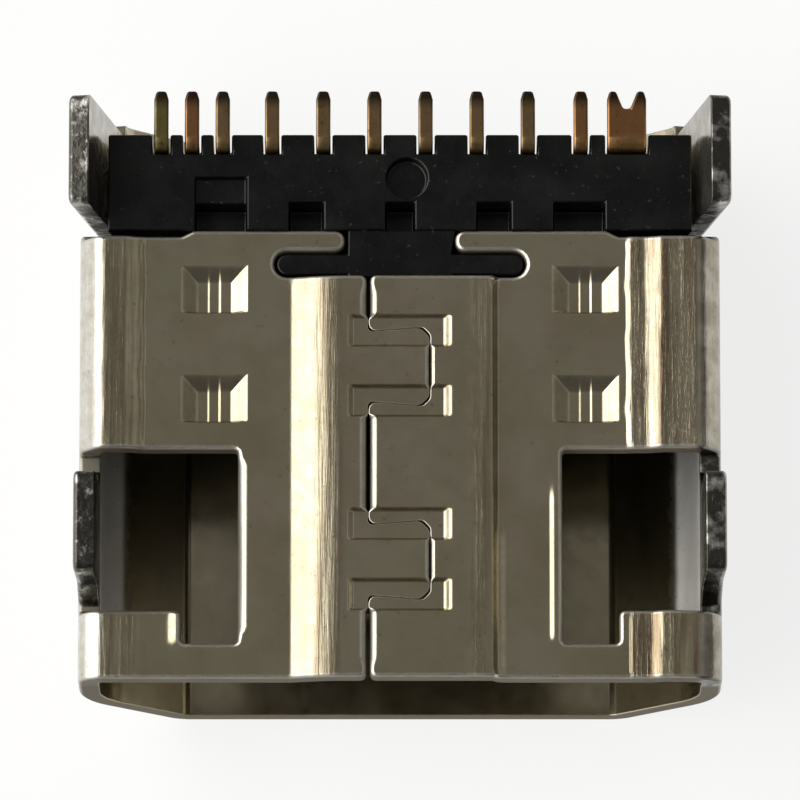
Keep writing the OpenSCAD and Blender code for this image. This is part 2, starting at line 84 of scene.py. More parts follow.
# The rolls along the corners (left, right), measured from the middle and on round the bend
ROLL_RISE = 0.07
ROLL_STEP = 0.25
ROLL_FOOT_X = (2.98, 2.64)
ROLL_FOOT_W = (-0.01, 0.045)
ROLL_CREST_X = ((3.04, 3.22), (2.85, 3.07))
ROLL_END_X = (3.45, 3.69)
ROLL_WAVES = ((0.006, 8.3, 0), (0.002, 21.7, 1))
FRONT_ROLL_RISE = 0.045
FRONT_ROLL_X = (2.91, 3.07, 3.16, ROLL_END_X[1])

# The dovetailed seam, its coined bars and the slot at its end
SEAM_X = -0.37
SEAM_GAP = 0.04
SEAM_LEFT = 0.004
SEAM_END_R = 0.07
TAB_REACH = 0.72
TAB_W = 0.84
TAB_FLARE = 0.05
TAB_D = (1.4, 3.71)
TAB_ROOT_R = 0.07
TAB_HEAD_R = 0.09
TAB_END_SHUT = 0.75
COIN_L = 1.22
COIN_W = 0.4
COIN_DEEP = 0.06
COIN_WALL = 0.045
COIN_SLOPE = 0.09
SLOT_W = 2.95
SLOT_L = 0.31
SLOT_D = 4.8
SLOT_FLAT = 0.004
SLOT_R = (SLOT_L - SLOT_FLAT) / 2
NECK_W = 1.29
NECK_R = 0.11

# The dents, with creases in their floors as (place, share of the depth)
DENT_X = 2.17
DENT_D = (3.34, 4.65)
PLATE_DENT_X = 1.2
PLATE_DENT_D = 4.62
DENT_L = 0.78
DENT_W = 0.58
DENT_DEEP = 0.12
DENT_SLOPE = 0.2
DENT_SCOOP = 0.2
DENT_WALL = 0.035
DENT_CREASES = ((-0.085, 0.05), (0.045, 0.09))
CREASE_W = 0.033

# The latch windows with their notches, and the lips that the punch has raised beside them
WINDOW_X = 1.89
WINDOW_D = 0.815
WINDOW_L = 1.915
WINDOW_R = 0.05
NOTCH_W = 0.66
NOTCH_L = 0.395
NOTCH_R = 0.07
LIP_PAST = 0.1
WINDOW_LIP_RISE = 0.017
WINDOW_LIP_X = (-0.16, -0.085)
WINDOW_LIP_FADE = 0.1
WINDOW_LIP_END_D = (2.1, 2.4)
NOTCH_LIP_RISE = 0.03
NOTCH_LIP_X = (-0.17, -0.03)
NOTCH_LIP_FADE = 0.06
NOTCH_LIP_PAST = 0.02

# The legs
LEG_RISE = 0.8
FRONT_LEAN = math.radians(2)
REAR_LEAN = math.radians(10)
FRONT_LEG_D = 1.12
FRONT_LEG_W = 1.2
SLIT_W = 0.14
REAR_LEG_D = SHELL_L + SLIT_W
REAR_LEG_W = 1.32
LEG_TIP_R = 0.12
LEG_FLARE_R = 0.3
LEG_CLEAR = 0.02

# The ears with their windows and lances, and the reliefs and slits beside them
EAR_L = 1.62
EAR_END = SHELL_L + EAR_L
EAR_H = 1.1
EAR_X = 2.5
EAR_BEND_X = 3.46
EAR_BEND_R = 0.6
EAR_LEG_ROOT_R = 0.05
EAR_TOP_R = 0.1
EAR_REAR_R = 0.08
EAR_ROOT_R = 0.06
EAR_WINDOW_IN = 0.5
EAR_WINDOW_D = SHELL_L - EAR_WINDOW_IN
EAR_WINDOW_L = 1.3
EAR_WINDOW_X = 0.22
EAR_WINDOW_W = 0.56
EAR_WINDOW_R = 0.08
LANCE_GAP = 0.08
LANCE_L = 1.02
LANCE_LEAN = math.radians(9)
LANCE_ROOT_R = 0.03
LANCE_TIP_R = 0.07
RELIEF_D = 0.07
RELIEF_X = 2.42
RELIEF_R = 0.09
SLIT_DROP = 0.16
SLIT_R = 0.065
SLIT_D = (SHELL_L + REAR_LEG_D) / 2

# The whole part's length and the contacts' tails, as places along the frame's Y axis
OVERALL_L = 7.02
BLOCK_L = 1.16
TAIL_START = SHELL_L + BLOCK_L - OVERALL_L / 2
TAIL_END = OVERALL_L / 2
TARNISH_FADE = 0.8
TIP_FADE = (0.22, 0.08)
TIP_Y = (TAIL_END - TIP_FADE[0], TAIL_END - TIP_FADE[1])
TIP_SHARE = 0.9

# How the sheet's cut edges are rounded
EDGE_R = 0.055
BURR_R = 0.02
WINDOW_ROLL_R = 0.12
WINDOW_ROLL_NEAR = 0.03
WINDOW_ROLL_FADE = (0.06, 0.2)
SEAM_ROLL_R = 0.09
SEAM_NEAR = 2 * SEAM_GAP
SEAM_ROLL_FADE = (0.1, 0.25)
COIN_FLATTENS = 0.8
EDGE_STEPS = 4

# Where the steel is streaked and matt, where the left corner gets a painted highlight and where the right
# corner gets painted shade: bands as (rise from, rise to, fall from, fall to)
STRIP_STREAKS_X = ((-1.08, -0.98, -0.78, -0.58), (0.76, 0.92, 1.0, 1.1))
LEFT_STREAKS_X = (2.96, 3.04, 3.5, 3.72)
RIGHT_STREAKS_X = (2.66, 2.7, 3.5, 3.72)
RIGHT_STREAKS_SHARE = 1.6
RIGHT_SHADE_X = (3.43, 3.53, 3.95, 4.15)
RIGHT_SHADE_SHARE = 0.9
HIGHLIGHT_X = (3.45, 3.53, 3.95, 4.1)
HIGHLIGHT_SHARE = 0.9
MATT_RISE = (-0.1, 0.05)
MATT_FALL = (-0.1, 0)
MATT_FRONT = 0.4

# How close together the sheet's points lie, with close ones in patches
OUTLINE_STEP = 0.05
LEAST_ARC_STEPS = 3
MITRE_LIMIT = 0.3
FIRST_COLUMN = 0.01
FIRST_ROW = 0.03
BASE_STEP = 0.1
BEND_STEP = 0.05
BEND_PAST = 0.05
PATCH_PAST = 0.04
PATCH_ROOM = 0.01
RIM_ROOM = 0.03
INNER_COARSE = 2.5
COIN_COLUMN = 0.03
COIN_ROW = 0.0125
COIN_PATCH_X = (0.68, -0.42)
DENT_STEP = 0.02
DENT_FRONT = (0.06, 0.009)
DENT_FLOOR = (0.12, 0.011)
LIP_COLUMN = 0.011
LIP_PATCH_X = (-0.065, -0.19)
LIP_PATCH_PAST = 0.06
LIP_PATCH_SHORT = 0.3
LIP_PATCH_D = (WINDOW_D - NOTCH_L - LIP_PATCH_PAST, WINDOW_D + WINDOW_L - LIP_PATCH_SHORT)
FLANK_COLUMN = 0.035
FLANK_PAST = (0.12, 0.06)
FLANK_STEEP_IN = 0.04
FLANK_STEEP = (0.15, 0.013)
ROLL_COLUMN = 0.03
ROLL_ROW = 0.06
ROLL_FOOT = (0.06, 0.015)
ROLL_PAST = (0.03, 0.05)

# Working values: a place off the wide face, a step for slopes, a gap between equal points, points at a time
NOWHERE = 99.0
DIFFERENCE = 1e-4
SAME_POINT = 1e-6
CHUNK = 4000


# The folded section: straight runs and bends from the middle of the narrow plate to the wide face
def turned(v, angle):
    c, s = math.cos(angle), math.sin(angle)
    return (c * v[0] - s * v[1], s * v[0] + c * v[1])


BEVEL = math.atan2(BEVEL_H, SHELL_W / 2 - PLATE_W / 2)
SLOPE = math.hypot(BEVEL_H, SHELL_W / 2 - PLATE_W / 2)
PLATE_TRIM = PLATE_R * math.tan(BEVEL / 2)
LEG_TOP = SHELL_H + LEG_RISE


def runs_of(steps):
    """Runs as (start length, start point, outward normal, radius or None) from (length, radius, turn)."""
    runs, at, point, normal = [], 0.0, (0.0, 0.0), (0.0, -1.0)
    for length, radius, turn in steps:
        runs.append((at, point, normal, radius))
        along = turned(normal, math.pi / 2)
        if radius is None:
            point = (point[0] + along[0] * length, point[1] + along[1] * length)
        else:
            centre = (point[0] - normal[0] * radius, point[1] - normal[1] * radius)
            normal = turned(normal, turn)
            point = (centre[0] + normal[0] * radius, centre[1] + normal[1] * radius)
        at += length
    return runs


def tube_runs():
    turn = math.pi / 2 - BEVEL
    trim = SIDE_R * math.tan(turn / 2)
    wall = SHELL_H - CORNER_R - BEVEL_H - trim
    return runs_of([(PLATE_W / 2 - PLATE_TRIM, None, 0), (PLATE_R * BEVEL, PLATE_R, BEVEL),
                    (SLOPE - PLATE_TRIM - trim, None, 0), (SIDE_R * turn, SIDE_R, turn), (wall, None, 0),
                    (CORNER_R * math.pi / 2, CORNER_R, math.pi / 2), (SHELL_W, None, 0)])


def ear_runs():
    turn = math.pi / 2 - BEVEL - REAR_LEAN
    trim = EAR_BEND_R * math.tan(turn / 2)
    bevel = (EAR_BEND_X - PLATE_W / 2) / math.cos(BEVEL)
    return runs_of([(PLATE_W / 2 - PLATE_TRIM, None, 0), (PLATE_R * BEVEL, PLATE_R, BEVEL),
                    (bevel - PLATE_TRIM - trim, None, 0), (EAR_BEND_R * turn, EAR_BEND_R, turn),
                    (SHELL_W, None, 0)])


# Places on the flat sheet, as u across it from the middle of the narrow plate
RUNS = tube_runs()
EAR_RUNS = ear_runs()
U_PLATE_BEND = RUNS[1][0]
U_BEVEL = RUNS[2][0]
U_SIDE_BEND = RUNS[3][0]
U_WALL = RUNS[4][0]
U_FOOT = RUNS[5][0]
U_FACE = RUNS[6][0]
U_EAR_BEND = EAR_RUNS[3][0]
U_EAR_WALL = EAR_RUNS[4][0]
U_MIDDLE = U_FACE + SHELL_W / 2 - CORNER_R
U_TIP = U_FOOT + (LEG_RISE + CORNER_R - SHEET * math.sin(FRONT_LEAN)) / math.cos(FRONT_LEAN)


def ear_u(z):
    """The flat sheet's coordinate of a height on an ear's leaning wall."""
    return U_EAR_WALL + (z - EAR_RUNS[4][1][1]) / math.cos(REAR_LEAN)


EAR_TIP = ear_u(LEG_TOP - SHEET * math.sin(REAR_LEAN))
SLIT_Z = (EAR_BEND_X - PLATE_W / 2) * math.tan(BEVEL) - SLIT_DROP
U_SLIT = U_BEVEL + SLIT_Z / math.sin(BEVEL) - PLATE_TRIM


def face_u(x, flap):
    """The flat sheet's coordinate of a place x on the wide face, on the right (1) or left (-1) flap."""
    return flap * (U_MIDDLE - flap * x)


def from_middle(u):
    """The distance from the wide face's middle, carried on round the corner."""
    return U_MIDDLE - np.abs(u)


def face_x(u):
    """The place across the wide face of a flat-sheet coordinate, or far outside it elsewhere."""
    return np.where(np.abs(u) > U_FACE, np.sign(u) * from_middle(u), NOWHERE)


# Shapes pressed into the sheet
def smooth(v, lo, hi):
    t = np.clip((v - lo) / (hi - lo), 0, 1)
    return t * t * (3 - 2 * t)


def band(v, rise_from, rise_to, fall_from, fall_to):
    """One inside a band, easing to nothing on both sides of it."""
    return smooth(v, rise_from, rise_to) * (1 - smooth(v, fall_from, fall_to))


def trough(along, across, length, slope, width, wall):
    """A pressed trough's share of its full depth: sloping ends and steep sides."""
    ends = 1 - smooth(np.abs(along), length / 2 - slope, length / 2)
    sides = 1 - smooth(np.abs(across), width / 2 - wall, width / 2)
    return ends * sides


def dent(along, across):
    """A dent's share of its full depth: sheared at its front, sloping at its ends and its rear, creased."""
    ends = (DENT_L / 2 - np.abs(along)) / DENT_SLOPE
    rear = (DENT_W / 2 - across) / DENT_SCOOP
    front = smooth(across, -DENT_W / 2, DENT_WALL - DENT_W / 2)
    share = np.clip(np.minimum(ends, rear), 0, 1)
    shallow = sum(rise * smooth(along, place, place + CREASE_W) for place, rise in DENT_CREASES)
    return front * (1 - shallow) * (share + smooth(share, 0, 1)) / 2


def strip(x):
    """The raised strip's share of its rise: its left flank has a long crest, its right one is steep."""
    edge = -STRIP_W / 2
    places = np.linspace(edge - FLANK_START, edge + FLANK_W, FLANK_SAMPLES)
    slope = band(places, edge - FLANK_FOOT[0], edge - FLANK_FOOT[1], edge + FLANK_CREST, edge + FLANK_W)
    rise = np.cumsum(slope)
    left = np.interp(x, places, rise / rise[-1])
    foot = STRIP_W / 2 - RIGHT_FLANK_IN
    return np.minimum(left, 1 - smooth(x, foot - RIGHT_FLANK_W, foot))


def corner_roll(u, d):
    """The raised roll along each corner behind the windows, and a shorter one before the right window."""
    s = from_middle(u) + sum(size * np.sin(rate * d + start) for size, rate, start in ROLL_WAVES)
    foot = np.where(u < 0, *ROLL_FOOT_X)
    step = ROLL_STEP * smooth(s, foot + ROLL_FOOT_W[0], foot + ROLL_FOOT_W[1])
    crest = (1 - ROLL_STEP) * np.where(u < 0, *(smooth(s, *edges) for edges in ROLL_CREST_X))
    fade = 1 - smooth(s, *ROLL_END_X)
    behind = (d > WINDOW_D + WINDOW_L / 2) & (d < SLIT_D)
    before = (d < WINDOW_D + LEG_CLEAR) & (u > 0)
    return ROLL_RISE * (step + crest) * fade * behind + FRONT_ROLL_RISE * band(s, *FRONT_ROLL_X) * before


def lips(x, d):
    """The lips that the punch has raised beside the right window and the left window's notch."""
    front = WINDOW_D - NOTCH_L
    from_window, from_notch = x - WINDOW_X, x + WINDOW_X + NOTCH_W
    window = smooth(from_window, *WINDOW_LIP_X) * (from_window < LIP_PAST)
    window = window * band(d, front, front + WINDOW_LIP_FADE, *WINDOW_LIP_END_D)
    notch = smooth(from_notch, *NOTCH_LIP_X) * (from_notch < LIP_PAST)
    notch = notch * band(d, front - NOTCH_LIP_FADE, front + NOTCH_LIP_FADE,
                         WINDOW_D - NOTCH_LIP_FADE, WINDOW_D + NOTCH_LIP_PAST)
    return WINDOW_LIP_RISE * window + NOTCH_LIP_RISE * notch


COIN_D = [tab_d + end * TAB_W / 2 for tab_d in TAB_D for end in (-1, 1)]


def coined(x, d):
    """The share of the coined bars' depth at a place on the wide face."""
    share = np.zeros_like(x)
    for bar_d in COIN_D:
        bar = trough(x - SEAM_X - TAB_REACH / 2, d - bar_d, COIN_L, COIN_SLOPE, COIN_W, COIN_WALL)
        share = np.maximum(share, bar)
    return share


def on_leg(u, d):
    windowed = (d > WINDOW_D + LEG_CLEAR) & (d < WINDOW_D + WINDOW_L - LEG_CLEAR)
    return (np.abs(u) > U_FOOT) & (np.abs(u) < U_TIP + EDGE_R) & windowed


def lance_span():
    """Middle and half width of an ear window's lance on the flat sheet."""
    middle = U_BEVEL + EAR_WINDOW_X + EAR_WINDOW_W / 2 - PLATE_TRIM
    return middle, EAR_WINDOW_W / 2 - LANCE_GAP


def on_lance(u, d):
    middle, half = lance_span()
    within = np.abs(np.abs(u) - middle) < half
    return within & (d > EAR_WINDOW_D) & (d < EAR_WINDOW_D + LANCE_L + EDGE_R)


def pressed(u, d, depth):
    """How far the presswork lifts the sheet outwards; depth is 0 on its outer face and 1 on its inner."""
    x = face_x(u)
    lift = STRIP_RISE * strip(x) * (d < SLOT_D + SLOT_L / 2) + corner_roll(u, d) + lips(x, d)
    lift = lift + RIDGE_RISE * band(x, *RIDGE_X) * (1 - smooth(d, *RIDGE_FADE_D))
    for dent_d in DENT_D:
        lift = lift - DENT_DEEP * dent(x - np.sign(x) * DENT_X, d - dent_d)
    lift = lift - DENT_DEEP * dent(u - np.sign(u) * PLATE_DENT_X, d - PLATE_DENT_D)
    lift = lift - COIN_DEEP * coined(x, d) * (1 - depth)
    return lift - np.where(on_lance(u, d), (d - EAR_WINDOW_D) * math.tan(LANCE_LEAN), 0)


# Marks on the steel and the forms of its cut edges
def streaked(u, d):
    """Where the drawing tool has left streaks along the shell: crests of the strip and the corners."""
    x, s = face_x(u), from_middle(u)
    crests = np.maximum(*(band(x, *edges) for edges in STRIP_STREAKS_X)) * (d < SLOT_D + SLOT_L / 2)
    left = band(s, *LEFT_STREAKS_X) * (u < 0)
    right = RIGHT_STREAKS_SHARE * band(s, *RIGHT_STREAKS_X) * (u > 0)
    return np.maximum(crests, np.maximum(left, right) * (d < SHELL_L))


def tarnish_and_shade(u, d):
    """Where the legs are tarnished, and a band along the right corner darkened as painted shade."""
    rear = (d > SLIT_D) & (np.abs(u) > ear_u(EAR_H))
    return np.maximum(on_leg(u, d) | rear, RIGHT_SHADE_SHARE * band(from_middle(u), *RIGHT_SHADE_X) * (u > 0))


def matt(u, d):
    """The inner side of the side bends and walls from the windows back, left rough."""
    a = np.abs(u)
    across = smooth(a - U_SIDE_BEND, *MATT_RISE) * (1 - smooth(a - U_FOOT, *MATT_FALL))
    return across * smooth(d, WINDOW_D - MATT_FRONT, WINDOW_D) * (d < SHELL_L)


def left_corner_highlight(u):
    """A painted highlight on the left corner's bend."""
    return HIGHLIGHT_SHARE * (u < 0) * band(from_middle(u), *HIGHLIGHT_X)


def shut(x, d):
    """How far the seam's gap is closed: right up in the coined bars, and nearly so at the tabs' ends."""
    share = coined(x, d)
    for tab_d in TAB_D:
        ends = (np.abs(x - SEAM_X - TAB_REACH) < SEAM_NEAR) & (np.abs(d - tab_d) < TAB_W / 2)
        share = np.maximum(share, TAB_END_SHUT * ends)
    return share


def roll_over(u, d):
    """Radius of the punched edge: wide beside the left window and the seam, flat in the coined bars."""
    x = face_x(u)
    flattened = coined(x, d)
    near, far = SEAM_ROLL_FADE
    seam = (np.abs(x - SEAM_X) < SEAM_NEAR) * band(d, near, far, SLOT_D - far, SLOT_D - near)
    near, far = WINDOW_ROLL_FADE
    front, rear = WINDOW_D - NOTCH_L, WINDOW_D + WINDOW_L
    window = np.abs(x + WINDOW_X) < WINDOW_ROLL_NEAR
    window = window * band(d, front + near, front + far, rear - far, rear - near)
    wide = (WINDOW_ROLL_R - EDGE_R) * window + (SEAM_ROLL_R - EDGE_R) * seam * (1 - flattened)
    return EDGE_R * (1 - COIN_FLATTENS * flattened) + wide


# Folding the flat sheet
def bent(a, runs):
    """Points and outward normals of a folded section at the flat lengths a."""
    x, z, nx, nz = (np.zeros_like(a) for _ in range(4))
    for start, point, normal, radius in runs:
        here = a >= start
        q = a - start
        if radius is None:
            along = turned(normal, math.pi / 2)
            px, pz = point[0] + along[0] * q, point[1] + along[1] * q
            mx, mz = normal[0], normal[1]
        else:
            c, s = np.cos(q / radius), np.sin(q / radius)
            mx, mz = c * normal[0] - s * normal[1], s * normal[0] + c * normal[1]
            px = point[0] + (mx - normal[0]) * radius
            pz = point[1] + (mz - normal[1]) * radius
        x, z = np.where(here, px, x), np.where(here, pz, z)
        nx, nz = np.where(here, mx, nx), np.where(here, mz, nz)
    return np.stack([x, z, nx, nz])


def fold(u, d, h):
    """Folds points of the flat sheet: u across it, d behind the lip, h above its outer face."""
    side = np.where(u < 0, -1.0, 1.0)
    a = np.abs(u)
    x, z, nx, nz = np.where(d > SLIT_D, bent(a, EAR_RUNS), bent(a, RUNS))
    leg = on_leg(u, d)
    q = a - U_FOOT
    x = np.where(leg, SHELL_W / 2 + q * math.sin(FRONT_LEAN), x)
    z = np.where(leg, SHELL_H - CORNER_R + q * math.cos(FRONT_LEAN), z)
    nx, nz = np.where(leg, math.cos(FRONT_LEAN), nx), np.where(leg, -math.sin(FRONT_LEAN), nz)
    out = h + np.where(leg, 0, pressed(u, d, -h / SHEET))
    return np.stack([side * (x + nx * out), d - OVERALL_L / 2, z + nz * out], axis=1) * MM


def unit(v):
    return v / np.linalg.norm(v, axis=1)[:, None]


def facing(u, d, h):
    """The folded sheet's own directions at flat places: across it, along it and outwards."""
    across = fold(u + DIFFERENCE, d, h) - fold(u - DIFFERENCE, d, h)
    along = fold(u, d + DIFFERENCE, h) - fold(u, d - DIFFERENCE, h)
    return unit(across), unit(along), unit(np.cross(along, across))


# Outlines on the flat sheet: corners are (u, d, rounding)
def rounded(before, corner, after, r):
    """The points of a corner rounded with the radius r."""
    if r == 0:
        return [corner]
    to_a, to_c = before - corner, after - corner
    to_a, to_c = to_a / np.linalg.norm(to_a), to_c / np.linalg.norm(to_c)
    half = math.acos(float(np.clip(to_a @ to_c, -1, 1))) / 2
    trim = r / math.tan(half)
    centre = corner + (to_a + to_c) / np.linalg.norm(to_a + to_c) * r / math.sin(half)
    first, last = corner + to_a * trim - centre, corner + to_c * trim - centre
    sweep = math.pi - 2 * half
    turn = math.copysign(sweep, first[0] * last[1] - first[1] * last[0])
    steps = max(LEAST_ARC_STEPS, math.ceil(sweep * r / OUTLINE_STEP))
    return [centre + np.array(turned(first, turn * k / steps)) for k in range(steps + 1)]


def dense(corners):
    """A closed outline with its corners rounded and its sides cut into short steps."""
    places = [np.array(corner[:2]) for corner in corners]
    points = []
    for i, corner in enumerate(corners):
        points += rounded(places[i - 1], places[i], places[(i + 1) % len(places)], corner[2])
    out = []
    for i, p in enumerate(points):
        q = points[(i + 1) % len(points)]
        steps = max(1, math.ceil(np.linalg.norm(q - p) / OUTLINE_STEP))
        out.extend(p + (q - p) * k / steps for k in range(steps))
    return np.array(out)


def tab_corners(tab_d, grow, flap):
    """A dovetail's corners from its front root to its rear root."""
    root = TAB_W / 2 + grow
    head = root + TAB_FLARE
    far = SEAM_X + TAB_REACH + grow
    blunt = 2 * TAB_FLARE
    base = SEAM_X + grow
    shape = [(base, -root, TAB_ROOT_R), (far - blunt, -head, TAB_HEAD_R), (far, blunt - head, TAB_HEAD_R),
             (far, head - blunt, TAB_HEAD_R), (far - blunt, head, TAB_HEAD_R), (base, root, TAB_ROOT_R)]
    return [(face_u(x, flap), tab_d + y, r) for x, y, r in shape]


def flap_edge(flap):
    """A flap's seam edge from the lip to the slot, then round the slot to the shell's rear edge."""
    grow = flap * SEAM_GAP / 2
    seam = face_u(SEAM_X + grow, flap)
    slot_end = face_u(flap * SLOT_W / 2, flap)
    neck = face_u(flap * NECK_W / 2, flap)
    relief = face_u(flap * RELIEF_X, flap)
    relief_end = face_u(flap * (RELIEF_X + 2 * RELIEF_D), flap)
    edge = [(seam, 0, SEAM_END_R)]
    for tab_d in TAB_D:
        edge += tab_corners(tab_d, grow, flap)
    return edge + [(seam, SLOT_D, SEAM_END_R), (slot_end, SLOT_D, SLOT_R),
                   (slot_end, SLOT_D + SLOT_L, SLOT_R), (neck, SLOT_D + SLOT_L, NECK_R),
                   (neck, SHELL_L, NECK_R), (relief, SHELL_L, RELIEF_R),
                   (relief_end, SHELL_L - RELIEF_D, RELIEF_R)]


def ear_edge():
    """The right ear from the wide face's rear edge, round its leg, to the narrow plate's rear edge."""
    rear = REAR_LEG_D + REAR_LEG_W
    beside = ear_u(EAR_H)
    return [(U_FOOT + 2 * RELIEF_D, SHELL_L - RELIEF_D, RELIEF_R), (U_FOOT, SHELL_L, RELIEF_R),
            (U_SLIT, SHELL_L, SLIT_R), (U_SLIT, REAR_LEG_D, SLIT_R), (EAR_TIP, REAR_LEG_D, LEG_TIP_R),
            (EAR_TIP, rear, LEG_TIP_R), (beside, rear, EAR_LEG_ROOT_R), (beside, EAR_END, EAR_TOP_R),
            (EAR_X, EAR_END, EAR_REAR_R), (EAR_X, SHELL_L, EAR_ROOT_R)]


def sheet_outline():
    right = flap_edge(1) + ear_edge()
    left = flap_edge(-1) + [(-u, d, r) for u, d, r in ear_edge()]
    return right + left[::-1]


def window_outline(side):
    """A latch window with the leg that stands in it still on the sheet."""
    spread = (WINDOW_L - FRONT_LEG_W) / 4
    front, rear = FRONT_LEG_D, FRONT_LEG_D + FRONT_LEG_W
    flare = U_FOOT + CORNER_R
    edge = face_u(WINDOW_X, 1)
    notch = face_u(WINDOW_X + NOTCH_W, 1)
    corners = [(U_FOOT, WINDOW_D, WINDOW_R), (U_FOOT, front - spread, WINDOW_R), (flare, front, LEG_FLARE_R),
               (U_TIP, front, LEG_TIP_R), (U_TIP, rear, LEG_TIP_R), (flare, rear, LEG_FLARE_R),
               (U_FOOT, rear + spread, WINDOW_R), (U_FOOT, WINDOW_D + WINDOW_L, WINDOW_R),
               (edge, WINDOW_D + WINDOW_L, WINDOW_R), (edge, WINDOW_D - NOTCH_L, WINDOW_R),
               (notch, WINDOW_D - NOTCH_L, WINDOW_R), (notch, WINDOW_D, NOTCH_R)]
    return [(side * u, d, r) for u, d, r in corners]


def ear_window_outline(side):
    """An ear's window with its lance still on the sheet."""
    middle, half = lance_span()
    wide = EAR_WINDOW_W / 2
    front, rear = EAR_WINDOW_D, EAR_WINDOW_D + EAR_WINDOW_L
    tip = EAR_WINDOW_D + LANCE_L
    corners = [(middle - wide, front, LANCE_ROOT_R), (middle - half, front, LANCE_ROOT_R),
               (middle - half, tip, LANCE_TIP_R), (middle + half, tip, LANCE_TIP_R),
               (middle + half, front, LANCE_ROOT_R), (middle + wide, front, LANCE_ROOT_R),
               (middle + wide, rear, EAR_WINDOW_R), (middle - wide, rear, EAR_WINDOW_R)]
    return [(side * u, d, r) for u, d, r in corners]


def area(p):
    q = np.roll(p, -1, axis=0)
    return float(np.sum(p[:, 0] * q[:, 1] - q[:, 0] * p[:, 1])) / 2


def inward(p):
    """Mitred normals that point into the sheet, with the sheet on the outline's left."""
    ahead = unit(np.roll(p, -1, axis=0) - p)
    n = np.stack([-ahead[:, 1], ahead[:, 0]], axis=1)
    m = np.roll(n, 1, axis=0)
    return (n + m) / np.maximum(1 + np.sum(n * m, axis=1), MITRE_LIMIT)[:, None]


def cut_edges():
    """The sheet's outline and holes, with the normals into the sheet and the seam closed where it is shut."""
    outlines = [sheet_outline()] + [f(s) for f in (window_outline, ear_window_outline) for s in (1, -1)]
    loops = []
    for i, corners in enumerate(outlines):
        p = dense(corners)
        loops.append(p if (area(p) > 0) == (i == 0) else p[::-1].copy())
    insets = [inward(p) for p in loops]
    closed = shut(face_x(loops[0][:, 0]), loops[0][:, 1]) * (SEAM_GAP / 2 - SEAM_LEFT)
    loops[0] = loops[0] - insets[0] * closed[:, None]
    return loops, insets


# Points and triangles that fill the flat sheet
def inside(points, loops):
    """Which points lie on the sheet: inside the outline and outside its holes."""
    hit = np.zeros(len(points), bool)
    for p in loops:
        q = np.roll(p, -1, axis=0)
        for (x0, y0), (x1, y1) in zip(p, q):
            if y0 != y1:
                cross = (y0 > points[:, 1]) != (y1 > points[:, 1])
                hit ^= cross & (points[:, 0] < x0 + (points[:, 1] - y0) * (x1 - x0) / (y1 - y0))
    return hit


def clear_of(points, loops, room):
    """The points that keep their distance from every point of the loops."""
    keep = np.ones(len(points), bool)
    for p in loops:
        for chunk in np.array_split(np.arange(len(points)), 1 + len(points) // CHUNK):
            gap = np.linalg.norm(points[chunk, None, :] - p[None, :, :], axis=2).min(axis=1)
            keep[chunk] &= gap > room
    return points[keep]


def grid_lines(lo, hi, step, *closer):
    """Grid lines from lo to hi, closer together around each (place, reach, step) in closer."""
    lines, v = [], lo
    while v < hi:
        lines.append(v)
        v += min([step] + [s for place, reach, s in closer if abs(v - place) < reach])
    return np.array(lines)


def fine_patches(coarse):
    """Lines across and along half the sheet for each bent or pressed place, the finest places first."""
    def lines(lo, hi, step, *closer):
        closer = [(place, reach, s * coarse) for place, reach, s in closer]
        return grid_lines(lo, hi, step * coarse, *closer)

    patches = []
    for bar_d in COIN_D:
        reach = COIN_W / 2 + PATCH_PAST
        patches.append((lines(U_MIDDLE - COIN_PATCH_X[0], U_MIDDLE - COIN_PATCH_X[1], COIN_COLUMN),
                        lines(bar_d - reach, bar_d + reach, COIN_ROW)))
    for u, d in [(U_MIDDLE - DENT_X, dent_d) for dent_d in DENT_D] + [(PLATE_DENT_X, PLATE_DENT_D)]:
        across, along = DENT_L / 2 + PATCH_PAST, DENT_W / 2 + PATCH_PAST
        patches.append((lines(u - across, u + across, DENT_STEP, (u, *DENT_FLOOR)),
                        lines(d - along, d + along, DENT_STEP, (d - DENT_W / 2, *DENT_FRONT))))
    window = U_MIDDLE - WINDOW_X
    patches.append((lines(window - LIP_PATCH_X[0], window - LIP_PATCH_X[1], LIP_COLUMN),
                    lines(*LIP_PATCH_D, ROLL_ROW)))
    strip_edge = U_MIDDLE - STRIP_W / 2
    steep = (strip_edge + FLANK_STEEP_IN, *FLANK_STEEP)
    flank = (strip_edge - FLANK_PAST[0], strip_edge + FLANK_W + FLANK_PAST[1])
    patches.append((lines(*flank, FLANK_COLUMN, steep), grid_lines(FIRST_ROW, SLOT_D + SLOT_L, BASE_STEP)))
    feet = [(U_MIDDLE - x, *ROLL_FOOT) for x in ROLL_FOOT_X]
    patches.append((lines(U_FOOT - ROLL_PAST[0], window - NOTCH_W + ROLL_PAST[1], ROLL_COLUMN, *feet),
                    lines(FIRST_ROW, SHELL_L, ROLL_ROW)))
    for start, end, front in ((U_PLATE_BEND, U_BEVEL, FIRST_ROW), (U_SIDE_BEND, U_WALL, FIRST_ROW),
                              (U_EAR_BEND, U_EAR_WALL, SHELL_L)):
        patches.append((grid_lines(start - BEND_PAST, end + BEND_PAST, BEND_STEP),
                        grid_lines(front, EAR_END, BASE_STEP)))
    return patches


def spread_points(coarse):
    """Points spread over the flat sheet, close together where it is bent or pressed."""
    everywhere = (grid_lines(FIRST_COLUMN, U_MIDDLE + STRIP_W / 2, BASE_STEP),
                  grid_lines(FIRST_ROW, EAR_END, BASE_STEP))
    kept, boxes = [], []
    for half, along in fine_patches(coarse) + [everywhere]:
        across = np.concatenate([-half[::-1], half])
        points = np.stack(np.meshgrid(across, along), axis=-1).reshape(-1, 2)
        for u_lo, u_hi, d_lo, d_hi in boxes:
            a, d = np.abs(points[:, 0]), points[:, 1]
            beside = (a < u_lo - PATCH_ROOM) | (a > u_hi + PATCH_ROOM)
            points = points[beside | (d < d_lo - PATCH_ROOM) | (d > d_hi + PATCH_ROOM)]
        kept.append(points)
        boxes.append((half[0], half[-1], along[0], along[-1]))
    return np.concatenate(kept)


